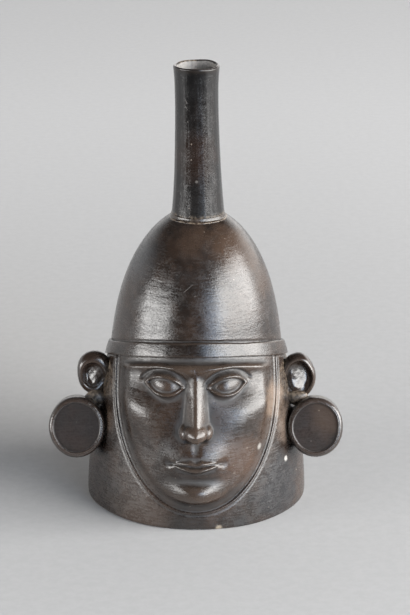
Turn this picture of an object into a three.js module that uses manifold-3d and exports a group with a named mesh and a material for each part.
// A burnished blackware bottle in the shape of a head that wears a tall domed cap and two large ear spools.
// It is built as a potter builds it: a front and a back wall pressed in two moulds, a flat base slab, a domed
// cap, a headband strip, a tube spout, and ears, spools and rolls of clay that are luted on. Each piece is a
// separate solid, and neighbours keep a thin luting gap. The bottle stands on z = 0 and faces -Y. Millimetres.
import * as THREE from "three";
import { mergeVertices } from "three/addons/utils/BufferGeometryUtils.js";
import Module from "manifold-3d";

const wasm = await Module();
wasm.setup();

// Head wall and base slab.
const BASE_HALF_WIDTH = 62.7;
const DEPTH_RATIO = 1.03; // plan depth over plan width
const WALL = 5;
const FLANK_POWER = 1.7; // how late the wall leans in on its way up
const BASE_THICKNESS = 6;
const GAP = 0.3; // luting gap between neighbouring pieces

// Cap: its flank follows a superellipse from a centre low inside the head up to its top.
const CAP_HALF_WIDTH = 50.3;
const CAP_CENTRE_HEIGHT = 26;
const CAP_TOP = 168.3;
const CAP_FLANK_POWER = 3.35;
const CAP_SHOULDER_POWER = 1.94;
const CAP_WALL = 4.6;

// Seam between head and cap: a plane that rises towards the forehead. The headband covers it.
const SEAM_HEIGHT = 86.4;
const SEAM_SLOPE = 0.3;
const SEAM_STEP = 1; // the head stands this much proud of the cap at the seam
const BAND_HEIGHT = 8;
const BAND_STAND = 1.4;
const BAND_CHAMFER = 0.5;
const BAND_CLEAR = 3; // plain wall left below the band, and the height over which the face rises from it

// Spout.
const LIP_HEIGHT = 250;
const LIP_RADIUS = 13.05;
const NECK_HEIGHT = 226;
const NECK_RADIUS = 12.2;
const FOOT_RADIUS = 15;
const SPOUT_WALL = 3;
const SPOUT_COIL = 2; // fillet of clay round the foot
const COIL_EDGE = 0.5; // thickness at which the fillet ends on the cap

// Ears: upright dishes with a rolled rim, set into the sides of the head.
const EAR_HEIGHT = 74.3;
const EAR_HALF_WIDTH = 10.4;
const EAR_HALF_HEIGHT = 11.8;
const EAR_DEPTH = 11;
const EAR_RIM = 2.1;
const EAR_BOWL = 3.4;
const EAR_STANDOFF = 4.6; // from the side of the head to the ear's centre
const EAR_FORWARD = 18; // from the middle plane to the ear's front

// Ear spools: thick, slightly oval discs with a raised rim round a sunken face. Each is hung just below its ear
// and leans back, so that its face looks up a little.
const SPOOL_RADIUS = 16;
const SPOOL_TALL = 1.09; // height over width
const SPOOL_LEAN = 0.25; // radians
const SPOOL_DEPTH = 16;
const SPOOL_RIM = 3;
const SPOOL_RECESS = 1.6;
const SPOOL_STANDOFF = 8.7;
const SPOOL_FORWARD = 33;
const EAR_SPOOL_GAP = 1.2; // from an ear to its spool, bridged by a lump of clay
const PAD_SINK = 2.6; // how far the lump reaches past the gap on either side
const PAD_STRETCH = 2; // width of the lump over its thickness

// Rolls of clay: pressed into the seams inside the vessel, and laid along the hood's edge outside.
const COIL_THICKNESS = 2.5;
const COIL_WIDTH = 10;
const BASE_COIL = 6;
const HOOD_ROLL = 1.15;
const HOOD_OFFSET = 3;

// Face, drawn by the rules of thirds and fifths: brow, nose and chin share its height in thirds, and its
// width is five eyes. The eyes lie halfway up the whole head.
const FACE_HEIGHT = 120;
const CHIN_HEIGHT = 13;
const THIRD = FACE_HEIGHT / 3;
const HEAD_HEIGHT = (FACE_HEIGHT * 8) / 7;
const EYE = 0.14 * FACE_HEIGHT;
const FACE_HALF_WIDTH = 2.5 * EYE;
const BROW_LINE = CHIN_HEIGHT + 2 * THIRD;
const EYE_LINE = CHIN_HEIGHT + HEAD_HEIGHT / 2;
const NOSE_LINE = CHIN_HEIGHT + THIRD;
const MOUTH_LINE = NOSE_LINE - THIRD / 3;
const CHEEK_LINE = NOSE_LINE + THIRD / 2;

const QUARTER = Math.PI / 2;
const BIG = 600;

const clamp01 = (t) => Math.min(1, Math.max(0, t));
const smooth = (low, high, v) => {
  const t = clamp01((v - low) / (high - low));
  return t * t * (3 - 2 * t);
};
// A soft mound of height 1, a round boss that falls away outside its outline, and the larger of two
// heights with the crease between them rounded.
const mound = (dx, dz, wide, tall) => Math.exp(-((dx / wide) ** 2) - (dz / tall) ** 2);
const boss = (dx, dz, wide, tall) => {
  const left = 1 - (dx / wide) ** 2 - (dz / tall) ** 2;
  return left > 0 ? Math.sqrt(left) : 2 * left;
};
const blendMax = (a, b, k) => {
  const h = clamp01(0.5 + (a - b) / (2 * k));
  return b + (a - b) * h + k * h * (1 - h);
};

// Distance outside the oval of the face, in eye widths, and negative inside it.
function beyondFace(x, z) {
  const down = CHEEK_LINE - z;
  const reach = down > 0 ? CHEEK_LINE - CHIN_HEIGHT : 2.2 * FACE_HALF_WIDTH;
  const share = (Math.abs(x / FACE_HALF_WIDTH) ** 2.1 + Math.abs(down / reach) ** 2.1) ** (1 / 2.1);
  return (Math.hypot(x, down) * (1 - 1 / Math.max(share, 1e-6))) / EYE;
}

// The features take their places in eye widths: `out` from the middle plane, and heights from a line of the
// face. A relief is in eye widths too.
const above = (z, line) => (z - line) / EYE;

// Nose: a ridge from between the eyes down to a round tip, with a wing on each side.
function noseRelief(out, z) {
  const root = above(EYE_LINE, NOSE_LINE) + 0.25;
  const tip = 0.3;
  const up = above(z, NOSE_LINE);
  const along = clamp01((root - up) / (root - tip));
  const crest = 0.24 + 0.62 * along ** 1.25;
  const ridge = crest * (1 - (Math.hypot(out, 0.1) - 0.1) / (0.3 + 0.1 * along));
  const ends = smooth(-0.09, tip + 0.02, up) * smooth(root + 0.65, root - 0.25, up);
  const ball = 0.36 + 0.44 * boss(out, up - tip - 0.02, 0.34, 0.34);
  const wing = 0.12 + 0.36 * boss(out - 0.3, up - 0.27, 0.22, 0.29);
  return Math.max(0, blendMax(blendMax(ridge * ends, ball, 0.08), wing, 0.09));
}

// Eye: a ball between two lids in a shallow socket. The lids are arcs that cross at the corners.
function eyeRelief(out, z, ground) {
  const dx = out - 1;
  const dz = above(z, EYE_LINE) - 0.05 * dx;
  const [half, upper, lower] = [0.52, 0.27, 0.21];
  const upperRadius = (half ** 2 + upper ** 2) / (2 * upper);
  const lowerRadius = (half ** 2 + lower ** 2) / (2 * lower);
  const fromUpper = upperRadius - Math.hypot(dx, dz + upperRadius - upper);
  const fromLower = lowerRadius - Math.hypot(dx, dz - lowerRadius + lower);
  const open = Math.min(fromUpper, fromLower);
  const cap = (radius) => Math.sqrt(Math.max(0.0001, radius ** 2 - dx ** 2 - dz ** 2)) - 0.62;
  const socket = ground - 0.16 * mound(dx, dz - 0.06, 0.62, 0.48);
  const lids = blendMax(socket, cap(0.67) + 0.15, 0.07);
  const rim = 0.085 * Math.exp(-(((open + 0.055) / 0.055) ** 2));
  const inside = smooth(-0.035, 0.035, open);
  return (lids + rim) * (1 - inside) + (cap(0.62) + 0.17) * inside;
}

// Mouth: two lips that meet in a nearly level line.
function mouthRelief(out, z) {
  const taper = clamp01(1 - (out / 0.82) ** 2);
  const dip = mound(out, 0, 0.5, 1) * Math.cos(out / 0.17);
  const up = above(z, MOUTH_LINE) + 0.02 * dip - 0.01 * out ** 2;
  const bow = mound(out - 0.17, 0, 0.12, 1) - mound(out, 0, 0.1, 1);
  const upperLip = clamp01(up / (0.17 * taper + 0.035 * bow + 0.001));
  const lowerLip = clamp01(-up / (0.25 * taper ** 1.2 + 0.001));
  const lips = 0.15 * Math.sin(Math.PI * upperLip ** 0.8) + 0.19 * Math.sin(Math.PI * lowerLip ** 0.75);
  return lips * taper - 0.1 * smooth(0.9, 0.7, out) * mound(0, up, 1, 0.05);
}

// Relief of the face over the plain wall of the head, in millimetres.
function faceRelief(x, z) {
  const out = Math.abs(x) / EYE;
  const [brow, eye, nose] = [above(z, BROW_LINE), above(z, EYE_LINE), above(z, NOSE_LINE)];
  const [mouth, chin] = [above(z, MOUTH_LINE), above(z, CHIN_HEIGHT)];
  let h = 0.2 * mound(out - 1.5, nose - 0.55, 0.85, 0.85);
  h += 0.12 * mound(out - 1.95, eye + 0.75, 0.55, 0.5);
  h += 0.27 * mound(out, mouth - 0.05, 1.1, 0.8);
  h += 0.3 * mound(out, chin - 0.52, 0.72, 0.46);
  h -= 0.1 * mound(out, mouth + 0.58, 0.6, 0.17);
  h += 0.15 * mound(out - 1.1, brow + 0.02 + 0.2 * (out - 1.1) ** 2, 1, 0.2);
  h += 0.1 * mound(out, brow - 0.1, 0.9, 0.6);
  h = eyeRelief(out, z, h);
  h = blendMax(h, 0.5 * h + noseRelief(out, z) - 0.1, 0.05);
  h -= 0.2 * mound(out - 0.22, nose - 0.02, 0.11, 0.075);
  h += mouthRelief(out, z);
  return EYE * (h + 0.08) * smooth(0.05, -0.4, beyondFace(x, z));
}

// Outlines of the vessel. Angle 0 faces the front.
const seamAt = (angle, radius) => SEAM_HEIGHT + SEAM_SLOPE * DEPTH_RATIO * radius * Math.cos(angle);
function capRadius(z, inset = 0) {
  const rise = clamp01((z - CAP_CENTRE_HEIGHT) / (CAP_TOP - inset - CAP_CENTRE_HEIGHT));
  return (CAP_HALF_WIDTH - inset) * (1 - rise ** CAP_FLANK_POWER) ** (1 / CAP_SHOULDER_POWER);
}
function capHeightAt(radius) {
  const wide = (radius / CAP_HALF_WIDTH) ** CAP_SHOULDER_POWER;
  return CAP_CENTRE_HEIGHT + (CAP_TOP - CAP_CENTRE_HEIGHT) * (1 - wide) ** (1 / CAP_FLANK_POWER);
}
function headRadius(angle, z) {
  const seam = seamAt(angle, CAP_HALF_WIDTH);
  const top = capRadius(seam) + SEAM_STEP;
  return BASE_HALF_WIDTH - (BASE_HALF_WIDTH - top) * Math.max(0, z / seam) ** FLANK_POWER;
}
function faceRadius(angle, z) {
  const plain = headRadius(angle, z);
  if (Math.abs(angle) > QUARTER) return plain;
  const hidden = seamAt(angle, CAP_HALF_WIDTH) - BAND_HEIGHT / 2 - BAND_CLEAR;
  return plain + faceRelief(plain * Math.sin(angle), z) * smooth(hidden, hidden - BAND_CLEAR, z);
}
function spoutRadius(z) {
  if (z > NECK_HEIGHT) {
    return NECK_RADIUS + (LIP_RADIUS - NECK_RADIUS) * ((z - NECK_HEIGHT) / (LIP_HEIGHT - NECK_HEIGHT)) ** 3;
  }
  const foot = capHeightAt(FOOT_RADIUS);
  return NECK_RADIUS + (FOOT_RADIUS - NECK_RADIUS) * ((NECK_HEIGHT - z) / (NECK_HEIGHT - foot)) ** 2;
}

// A closed BufferGeometry becomes a manifold, whichever way its faces were wound.
function solidOf(geometry) {
  for (const name of ["normal", "uv"]) geometry.deleteAttribute(name);
  const merged = mergeVertices(geometry, 1e-4);
  const index = merged.index.array;
  const triangles = [];
  for (let i = 0; i < index.length; i += 3) {
    const [a, b, c] = [index[i], index[i + 1], index[i + 2]];
    if (a !== b && b !== c && a !== c) triangles.push(a, b, c);
  }
  const made = (triVerts) =>
    new wasm.Manifold(
      new wasm.Mesh({
        numProp: 3,
        vertProperties: new Float32Array(merged.attributes.position.array),
        triVerts: new Uint32Array(triVerts),
      }),
    );
  const solid = made(triangles);
  return solid.volume() > 0 ? solid : made(triangles.reverse());
}
function indexed(positions, faces) {
  const geometry = new THREE.BufferGeometry();
  geometry.setAttribute("position", new THREE.Float32BufferAttribute(positions, 3));
  geometry.setIndex(faces);
  return solidOf(geometry);
}
const steps = (low, high, count) =>
  Array.from({ length: count + 1 }, (_, i) => low + ((high - low) * i) / count);
const round = (count) => steps(0, 2 * Math.PI, count).slice(0, count);
const place = (angle, r, z, depth = DEPTH_RATIO) => [r * Math.sin(angle), -depth * r * Math.cos(angle), z];

// A closed solid from rings of points, one ring for each height, with flat ends.
function turned(radiusAt, heights, angles, depth = DEPTH_RATIO) {
  const positions = heights.flatMap((z) => angles.flatMap((a) => place(a, radiusAt(a, z), z, depth)));
  const columns = angles.length;
  const bottom = positions.length / 3;
  positions.push(0, 0, heights[0], 0, 0, heights.at(-1));
  const last = (heights.length - 1) * columns;
  const faces = [];
  for (let j = 0; j < columns; j += 1) {
    const next = (j + 1) % columns;
    faces.push(bottom, next, j, bottom + 1, last + j, last + next);
    for (let row = 0; row < last; row += columns) {
      faces.push(row + j, row + next, row + columns + next, row + j, row + columns + next, row + columns + j);
    }
  }
  return indexed(positions, faces);
}
// A closed ring round the vessel, from a section of [radius, height] points at each angle.
function ringOf(sectionAt, angles) {
  const sections = angles.map(sectionAt);
  const positions = sections.flatMap((section, i) => section.flatMap(([r, z]) => place(angles[i], r, z)));
  const size = sections[0].length;
  const faces = [];
  for (let j = 0; j < angles.length; j += 1) {
    const here = j * size;
    const there = ((j + 1) % angles.length) * size;
    for (let k = 0; k < size; k += 1) {
      const next = (k + 1) % size;
      faces.push(here + k, there + k, there + next, here + k, there + next, here + next);
    }
  }
  return indexed(positions, faces);
}
// The point where an outline that stands off by `stand` meets the seam plane moved up by `lift`.
function onSeam(radiusAt, angle, lift, stand = 0) {
  let r = CAP_HALF_WIDTH;
  for (let i = 0; i < 6; i += 1) r = radiusAt(angle, seamAt(angle, r) + lift) + stand;
  return [r, seamAt(angle, r) + lift];
}
function box(x0, x1, y0, y1, z0, z1) {
  const geometry = new THREE.BoxGeometry(x1 - x0, y1 - y0, z1 - z0);
  return solidOf(geometry.translate((x0 + x1) / 2, (y0 + y1) / 2, (z0 + z1) / 2));
}
// Everything below the seam plane moved up by `lift`.
function belowSeam(lift) {
  const geometry = new THREE.BoxGeometry(BIG, BIG, BIG).translate(0, 0, -BIG / 2);
  return solidOf(geometry.rotateX(-Math.atan(SEAM_SLOPE)).translate(0, 0, SEAM_HEIGHT + lift));
}
const arc = (x, y, radius, from, to, count) =>
  steps(from, to, count).map((a) => [x + radius * Math.cos(a), y + radius * Math.sin(a)]);
// A piece turned about a front-to-back axis from [radius, ahead] points, and one about the upright axis.
function turnedForward(profile, segments, tall, lean, x, forward, z) {
  const points = profile.map(([radius, ahead]) => new THREE.Vector2(radius, ahead));
  const lathe = new THREE.LatheGeometry(points, segments);
  return solidOf(lathe.rotateZ(Math.PI).scale(1, 1, tall).rotateX(-lean).translate(x, -forward, z));
}
function turnedUpright(profile, segments) {
  const points = [...profile, profile[0]].map(([radius, height]) => new THREE.Vector2(radius, height));
  return solidOf(new THREE.LatheGeometry(points, segments).rotateX(QUARTER));
}

// The head's outer form, with close rings and columns where the face is, and its hollow.
const ROUND_STEPS = 48;
const FACE_SPAN = Math.asin(0.5);
const headTop = SEAM_HEIGHT + SEAM_SLOPE * DEPTH_RATIO * CAP_HALF_WIDTH + BAND_HEIGHT;
const headAngles = [
  ...steps(-QUARTER, -FACE_SPAN, 7).slice(0, -1),
  ...steps(-FACE_SPAN, FACE_SPAN, 30),
  ...steps(FACE_SPAN, QUARTER, 7).slice(1),
  ...steps(QUARTER, 3 * QUARTER, 16).slice(1, -1),
];
const headHeights = [
  ...steps(0, CHIN_HEIGHT - 3, 2),
  ...steps(CHIN_HEIGHT - 3, MOUTH_LINE - 0.4 * EYE, 7).slice(1),
  ...steps(MOUTH_LINE - 0.4 * EYE, MOUTH_LINE + 0.3 * EYE, 9).slice(1),
  ...steps(MOUTH_LINE + 0.3 * EYE, NOSE_LINE - 0.15 * EYE, 2).slice(1),
  ...steps(NOSE_LINE - 0.15 * EYE, NOSE_LINE + 0.65 * EYE, 7).slice(1),
  ...steps(NOSE_LINE + 0.65 * EYE, EYE_LINE - 0.4 * EYE, 3).slice(1),
  ...steps(EYE_LINE - 0.4 * EYE, EYE_LINE + 0.45 * EYE, 10).slice(1),
  ...steps(EYE_LINE + 0.45 * EYE, headTop, 9).slice(1),
];
const headForm = (grow) => turned((a, z) => faceRadius(a, z) + grow, headHeights, headAngles);
const backForm = turned(headRadius, steps(0, headTop, 12), round(ROUND_STEPS));
const headGrown = headForm(GAP);
const insideHead = (inset) => (angle, z) => headRadius(angle, z) - WALL - inset;
const hollow = (inset) => turned(insideHead(inset), [-1, ...steps(0, headTop, 9).slice(1)], round(ROUND_STEPS));

// Walls of the head, split front and back as they leave their moulds, with the base slab let in between them.
const wallOf = (form) => form.subtract(hollow(0)).intersect(belowSeam(-GAP / 2));
const headFront = wallOf(headForm(0)).intersect(box(-BIG, BIG, -BIG, -GAP / 2, -BIG, BIG));
const headBack = wallOf(backForm).intersect(box(-BIG, BIG, GAP / 2, BIG, -BIG, BIG));
const slabRadius = (angle) => insideHead(GAP)(angle, BASE_THICKNESS);
const baseSlab = turned(slabRadius, [0, BASE_THICKNESS], round(ROUND_STEPS));

// Cap: a domed shell, open below and pierced at the top where the spout stands.
const capLow = SEAM_HEIGHT - SEAM_SLOPE * DEPTH_RATIO * CAP_HALF_WIDTH - BAND_HEIGHT;
const capForm = (inset, rings) => {
  const heights = steps(0, QUARTER, rings).map((t) => capLow + (CAP_TOP - inset - capLow) * Math.sin(t));
  return turned((_, z) => Math.max(0.5, capRadius(z, inset)), heights, round(ROUND_STEPS));
};
const capGrown = capForm(-GAP, 12);
const pierce = turned(() => FOOT_RADIUS - SPOUT_WALL, [capLow, LIP_HEIGHT], round(24), 1);
const cap = capForm(0, 12).subtract(capForm(CAP_WALL, 8)).subtract(pierce).subtract(belowSeam(GAP / 2));

// Headband: a strip that steps over the seam between the head and the cap.
const capOutline = (_, z) => capRadius(z);
function bandSection(angle) {
  const [half, corner] = [BAND_HEIGHT / 2, BAND_HEIGHT / 2 - BAND_CHAMFER];
  return [
    onSeam(headRadius, angle, -half, GAP),
    onSeam(headRadius, angle, GAP, GAP),
    onSeam(capOutline, angle, GAP, GAP),
    onSeam(capOutline, angle, half, GAP),
    onSeam(capOutline, angle, half, BAND_STAND - BAND_CHAMFER),
    onSeam(capOutline, angle, corner, BAND_STAND),
    onSeam(headRadius, angle, -corner, BAND_STAND),
    onSeam(headRadius, angle, -half, BAND_STAND - BAND_CHAMFER),
  ];
}
const headband = ringOf(bandSection, round(64));
// The room that the band and its luting gap take, for what is set in beside it.
function bandRoomSection(angle) {
  const half = BAND_HEIGHT / 2 + GAP;
  return [
    onSeam(headRadius, angle, -half, -WALL),
    onSeam(capOutline, angle, half, -CAP_WALL),
    onSeam(capOutline, angle, half, BAND_STAND + GAP),
    onSeam(headRadius, angle, -half, BAND_STAND + GAP),
  ];
}
const bandRoom = ringOf(bandRoomSection, round(64));

// Spout: a tube with a waist and a rounded lip, its foot cut to the dome of the cap.
function spoutSolid() {
  const foot = capHeightAt(FOOT_RADIUS) - SPOUT_WALL;
  const lip = SPOUT_WALL / 2;
  const heights = [
    ...steps(foot, NECK_HEIGHT, 6).slice(0, -1),
    ...steps(NECK_HEIGHT, LIP_HEIGHT - lip, 3),
  ];
  const outside = heights.map((z) => [spoutRadius(z), z]);
  const rim = arc(spoutRadius(LIP_HEIGHT) - lip, LIP_HEIGHT - lip, lip, 0, Math.PI, 4).slice(1, -1);
  const inside = heights.filter((_, i) => i % 3 === 0).map((z) => [spoutRadius(z) - SPOUT_WALL, z]);
  return turnedUpright([...outside, ...rim, ...inside.reverse()], 28).subtract(capGrown);
}
// Roll of clay that fillets the corner between the spout and the cap.
function spoutCoil() {
  const inner = FOOT_RADIUS + GAP;
  const fillet = steps(0, 1, 4).map((t) => {
    const radius = inner + SPOUT_COIL * t;
    return [radius, capHeightAt(radius) + GAP + COIL_EDGE + SPOUT_COIL * (1 - t) ** 2];
  });
  const low = capHeightAt(inner + SPOUT_COIL) - SPOUT_COIL;
  const profile = [[inner, low], [inner + SPOUT_COIL, low], ...fillet.reverse()];
  return turnedUpright(profile, 28).subtract(capGrown);
}

// Ears: `side` is 1 on the bottle's own left, which is +X, and -1 on its right.
const earX = headRadius(QUARTER, EAR_HEIGHT) + EAR_STANDOFF;
function earForm(side, grow) {
  const radius = EAR_HALF_WIDTH + grow;
  const profile = [
    [0, -EAR_DEPTH - grow],
    [radius * 0.75, -EAR_DEPTH - grow],
    [radius, -EAR_DEPTH * 0.55],
    ...arc(radius - EAR_RIM, -EAR_RIM + grow, EAR_RIM, 0, Math.PI, 5),
    [(radius - 2 * EAR_RIM) * 0.6, -EAR_RIM - EAR_BOWL * 0.8],
    [0, -EAR_RIM - EAR_BOWL],
  ];
  return turnedForward(profile, 24, EAR_HALF_HEIGHT / EAR_HALF_WIDTH, 0, side * earX, EAR_FORWARD, EAR_HEIGHT);
}
// The rim is pressed down on the side of the face, where the bowl runs out on to the wall.
function ear(side) {
  const reach = EAR_HALF_WIDTH;
  const notch = new THREE.CylinderGeometry(EAR_RIM, EAR_RIM, reach, 12).rotateZ(QUARTER + side * 0.5);
  notch.translate(side * (earX - reach * 0.55), -EAR_FORWARD + EAR_RIM * 0.6, EAR_HEIGHT - reach * 0.3);
  return earForm(side, 0).subtract(solidOf(notch)).subtract(headGrown).subtract(bandRoom);
}

// A spool hangs as far below its ear as the two outlines and the gap between them need. It leans about a line in
// the plane of the ear's front.
const spoolXAt = (z) => headRadius(QUARTER, z) + SPOOL_STANDOFF;
const spoolApart = EAR_HALF_HEIGHT + EAR_SPOOL_GAP + SPOOL_RADIUS * SPOOL_TALL;
let spoolHeight = EAR_HEIGHT - spoolApart;
for (let i = 0; i < 12; i += 1) {
  spoolHeight = EAR_HEIGHT - Math.sqrt(spoolApart ** 2 - (spoolXAt(spoolHeight) - earX) ** 2);
}
const spoolX = spoolXAt(spoolHeight);
const spoolFaceHeight = spoolHeight + (SPOOL_FORWARD - EAR_FORWARD) * Math.tan(SPOOL_LEAN);

function spoolForm(side, grow) {
  const radius = SPOOL_RADIUS + grow;
  const face = SPOOL_RADIUS - SPOOL_RIM;
  const bead = SPOOL_RIM / 2;
  const profile = [
    [0, -SPOOL_DEPTH - grow],
    [radius - bead, -SPOOL_DEPTH - grow],
    [radius, -SPOOL_DEPTH + bead],
    ...arc(radius - bead, -bead + grow, bead, 0, Math.PI, 5),
    [face, -SPOOL_RECESS],
    [0, -SPOOL_RECESS],
  ];
  return turnedForward(profile, 32, SPOOL_TALL, SPOOL_LEAN, side * spoolX, SPOOL_FORWARD, spoolFaceHeight);
}
const spool = (side) => spoolForm(side, 0).subtract(headGrown);

// Lump of clay that ties the bottom of an ear to the top of its spool.
function lutingPad(side) {
  const share = (EAR_HALF_HEIGHT + EAR_SPOOL_GAP / 2) / spoolApart;
  const behind = Math.max(EAR_FORWARD - EAR_DEPTH, SPOOL_FORWARD - SPOOL_DEPTH);
  const y = -(behind + Math.min(EAR_FORWARD, SPOOL_FORWARD)) / 2;
  const lump = new THREE.SphereGeometry(EAR_SPOOL_GAP / 2 + PAD_SINK, 16, 10).scale(PAD_STRETCH, 1, 1);
  lump.translate(side * (earX + (spoolX - earX) * share), y, EAR_HEIGHT + (spoolHeight - EAR_HEIGHT) * share);
  return solidOf(lump).subtract(earForm(side, GAP)).subtract(spoolForm(side, GAP)).subtract(headGrown);
}

// Roll of clay that edges the hood, laid on the wall just outside the oval of the face.
function hoodRoll() {
  const points = steps(-2.1, 2.1, 36).map((turn) => {
    const aim = [Math.sin(turn), -Math.cos(turn)];
    let far = FACE_HALF_WIDTH / 2;
    while (beyondFace(aim[0] * far, CHEEK_LINE + aim[1] * far) * EYE < HOOD_OFFSET) far += 0.05;
    const z = CHEEK_LINE + aim[1] * far;
    const angle = Math.asin(clamp01((Math.abs(aim[0]) * far) / headRadius(0, z))) * Math.sign(aim[0]);
    return new THREE.Vector3(...place(angle, faceRadius(angle, z), z));
  });
  const section = new THREE.Shape();
  section.absarc(0, 0, HOOD_ROLL, 0, 2 * Math.PI);
  const path = new THREE.CatmullRomCurve3(points);
  const roll = new THREE.ExtrudeGeometry(section, { steps: 36, curveSegments: 3, extrudePath: path });
  return solidOf(roll).subtract(headGrown).intersect(belowSeam(-BAND_HEIGHT / 2 - GAP));
}

// Rolls pressed into the seams on the inside of the vessel.
const lining = hollow(GAP).subtract(hollow(GAP + COIL_THICKNESS));
const floor = BASE_THICKNESS + GAP;
function sideCoil(side) {
  const low = floor + BASE_COIL + GAP;
  const half = COIL_WIDTH / 2;
  const strip = side > 0 ? box(0, BIG, -half, half, low, BIG) : box(-BIG, 0, -half, half, low, BIG);
  return lining.intersect(strip).intersect(belowSeam(-half - GAP));
}
function baseCoilSection(angle) {
  const wall = insideHead(GAP)(angle, floor + BASE_COIL);
  return [
    [wall, floor],
    [wall, floor + BASE_COIL],
    [wall - BASE_COIL * 0.7, floor + BASE_COIL * 0.7],
    [wall - BASE_COIL, floor],
  ];
}
const baseCoil = ringOf(baseCoilSection, round(ROUND_STEPS));
function crownCoilSection(angle) {
  const half = COIL_WIDTH / 2;
  const insideCap = (_, z) => capRadius(z, CAP_WALL);
  return [
    onSeam(insideHead(0), angle, -half, -GAP),
    onSeam(insideCap, angle, 0, -1.5 * GAP),
    onSeam(insideCap, angle, half, -GAP),
    onSeam(insideCap, angle, half / 2, -GAP - COIL_THICKNESS),
    onSeam(insideCap, angle, -half / 2, -GAP - COIL_THICKNESS),
  ];
}
const crownCoil = ringOf(crownCoilSection, round(ROUND_STEPS));

// Fired colours: burnished outside, plain dark clay inside.
const burnished = { color: 0x3f3531, roughness: 0.36, metalness: 0 };
const spoutClay = { color: 0x343130, roughness: 0.33, metalness: 0 };
const spoolClay = { color: 0x3a302d, roughness: 0.5, metalness: 0 };
const rawClay = { color: 0x5a4a40, roughness: 0.9, metalness: 0 };

const vessel = new THREE.Group();
function addPiece(name, solid, finish) {
  const { vertProperties, triVerts } = solid.getMesh();
  const geometry = new THREE.BufferGeometry();
  geometry.setAttribute("position", new THREE.BufferAttribute(new Float32Array(vertProperties), 3));
  geometry.setIndex(new THREE.BufferAttribute(new Uint32Array(triVerts), 1));
  geometry.computeVertexNormals();
  const mesh = new THREE.Mesh(geometry, new THREE.MeshStandardMaterial(finish));
  mesh.name = name;
  vessel.add(mesh);
}

addPiece("base_slab", baseSlab, rawClay);
addPiece("head_front", headFront, burnished);
addPiece("head_back", headBack, burnished);
addPiece("cap_dome", cap, burnished);
addPiece("headband", headband, burnished);
addPiece("hood_edge_roll", hoodRoll(), burnished);
addPiece("spout", spoutSolid(), spoutClay);
addPiece("spout_seam_coil", spoutCoil(), burnished);
for (const [word, side] of [["left", 1], ["right", -1]]) {
  addPiece(`ear_${word}`, ear(side), burnished);
  addPiece(`ear_spool_${word}`, spool(side), spoolClay);
  addPiece(`luting_pad_${word}`, lutingPad(side), rawClay);
  addPiece(`side_seam_coil_${word}`, sideCoil(side), rawClay);
}
addPiece("base_seam_coil", baseCoil, rawClay);
addPiece("crown_seam_coil", crownCoil, rawClay);

export default vessel;
